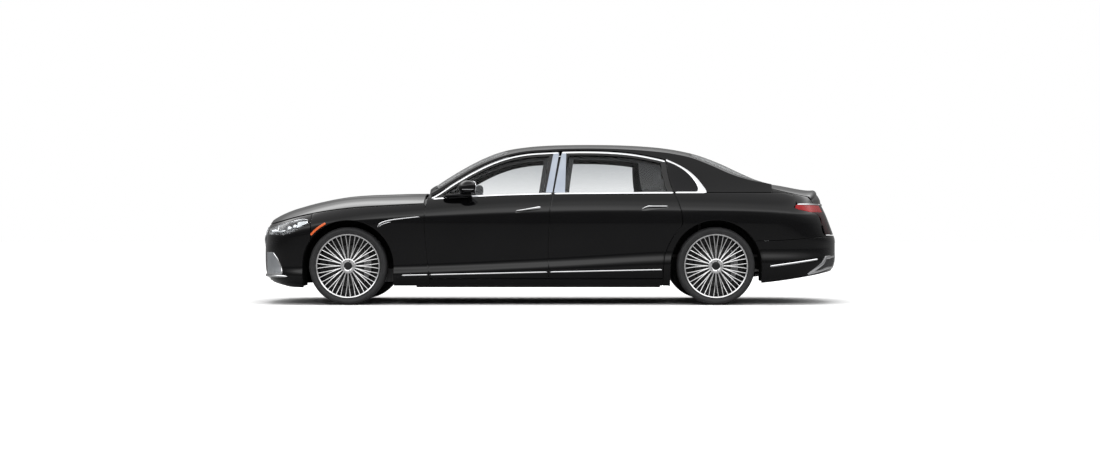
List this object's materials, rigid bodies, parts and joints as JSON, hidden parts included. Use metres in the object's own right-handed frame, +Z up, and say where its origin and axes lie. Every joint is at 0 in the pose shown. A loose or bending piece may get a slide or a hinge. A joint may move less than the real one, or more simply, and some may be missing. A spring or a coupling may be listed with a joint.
{
  "type": "luxury sedan",
  "caption": "Long-wheelbase four-door luxury sedan with a hollow cabin, hinged doors, bonnet and boot lid, and steered rolling wheels.",
  "frame": {"origin": "on the ground, under the middle of the car's length and width", "axes": "+X to the front, +Y to the car's left, +Z up"},
  "size_m": [5.469, 2.1092, 1.5099],
  "materials": {
    "paint": "gloss",
    "underbody": "satin",
    "liner": "matte",
    "glazing": "tinted",
    "lamp_clear": "clear",
    "lamp_red": "gloss",
    "bright": "polished",
    "alloy": "polished",
    "casting": "cast",
    "engine_alloy": "cast",
    "steel": "brushed",
    "trim": "soft",
    "hide": "satin",
    "tyre": "matte"
  },
  "bodies": {
    "car": {"floor_pan": "underbody", "wheel_liners": "liner", "side_frames": "paint", "quarter_panels": "paint", "roof": "paint", "fenders": "paint", "front_bumper": "paint", "rear_bumper": "paint", "grille": "bright", "headlamps": "lamp_clear", "tail_lamps": "lamp_red", "windscreen": "glazing", "rear_window": "glazing", "quarter_windows": "glazing", "front_frame": "underbody", "engine": "engine_alloy", "rear_suspension": "casting", "dashboard": "trim", "front_seats": "hide", "rear_seats": "hide", "exhaust": "steel"},
    "bonnet": {"bonnet": "paint"},
    "boot_lid": {"boot_lid": "paint"},
    "steering_wheel": {"steering_wheel": "trim"},
    "door_front_left": {"door_front_left": "paint", "glass_front_left": "glazing"},
    "wheel_front_left": {"wheel_front_left": "alloy", "tyre_front_left": "tyre"},
    "door_front_right": {"door_front_right": "paint", "glass_front_right": "glazing"},
    "wheel_front_right": {"wheel_front_right": "alloy", "tyre_front_right": "tyre"},
    "door_rear_left": {"door_rear_left": "paint", "glass_rear_left": "glazing"},
    "wheel_rear_left": {"wheel_rear_left": "alloy", "tyre_rear_left": "tyre"},
    "door_rear_right": {"door_rear_right": "paint", "glass_rear_right": "glazing"},
    "wheel_rear_right": {"wheel_rear_right": "alloy", "tyre_rear_right": "tyre"},
    "knuckle_left": {"knuckle_left": "casting"},
    "knuckle_right": {"knuckle_right": "casting"}
  },
  "joints": [
    {"name": "door_front_left_hinge", "type": "hinge", "parent": "car", "child": "door_front_left", "pos_m": [1.14713, 0.947, 0.6], "axis": [0, 0, -1], "range_deg": [0, 68]},
    {"name": "door_rear_left_hinge", "type": "hinge", "parent": "car", "child": "door_rear_left", "pos_m": [-0.00438, 0.947, 0.6], "axis": [0, 0, -1], "range_deg": [0, 68]},
    {"name": "door_front_right_hinge", "type": "hinge", "parent": "car", "child": "door_front_right", "pos_m": [1.14713, -0.947, 0.6], "axis": [0, 0, 1], "range_deg": [0, 68]},
    {"name": "door_rear_right_hinge", "type": "hinge", "parent": "car", "child": "door_rear_right", "pos_m": [-0.00438, -0.947, 0.6], "axis": [0, 0, 1], "range_deg": [0, 68]},
    {"name": "bonnet_hinge", "type": "hinge", "parent": "car", "child": "bonnet", "pos_m": [1.18372, 0, 1.02604], "axis": [0, -1, 0], "range_deg": [0, 50]},
    {"name": "boot_hinge", "type": "hinge", "parent": "car", "child": "boot_lid", "pos_m": [-2.07744, 0, 1.11528], "axis": [0, 1, 0], "range_deg": [0, 75]},
    {"name": "steer_left", "type": "hinge", "parent": "car", "child": "knuckle_left", "pos_m": [1.8685, 0.7368, 0.36], "axis": [0, 0, 1], "range_deg": [-33, 33]},
    {"name": "roll_front_left", "type": "hinge", "parent": "knuckle_left", "child": "wheel_front_left", "pos_m": [1.8685, 0.813, 0.36], "axis": [0, 1, 0], "continuous": true},
    {"name": "roll_rear_left", "type": "hinge", "parent": "car", "child": "wheel_rear_left", "pos_m": [-1.5275, 0.813, 0.36], "axis": [0, 1, 0], "continuous": true},
    {"name": "steer_right", "type": "hinge", "parent": "car", "child": "knuckle_right", "pos_m": [1.8685, -0.7368, 0.36], "axis": [0, 0, 1], "range_deg": [-33, 33]},
    {"name": "roll_front_right", "type": "hinge", "parent": "knuckle_right", "child": "wheel_front_right", "pos_m": [1.8685, -0.813, 0.36], "axis": [0, 1, 0], "continuous": true},
    {"name": "roll_rear_right", "type": "hinge", "parent": "car", "child": "wheel_rear_right", "pos_m": [-1.5275, -0.813, 0.36], "axis": [0, 1, 0], "continuous": true},
    {"name": "steering_turn", "type": "hinge", "parent": "car", "child": "steering_wheel", "pos_m": [0.73084, 0.36499, 0.86825], "axis": [-0.9135, 0, 0.4067], "range_deg": [-470, 470]}
  ],
  "couplings": [
    {"joint": "steer_right", "follows": "steer_left", "ratio": 1},
    {"joint": "steering_turn", "follows": "steer_left", "ratio": 14}
  ]
}
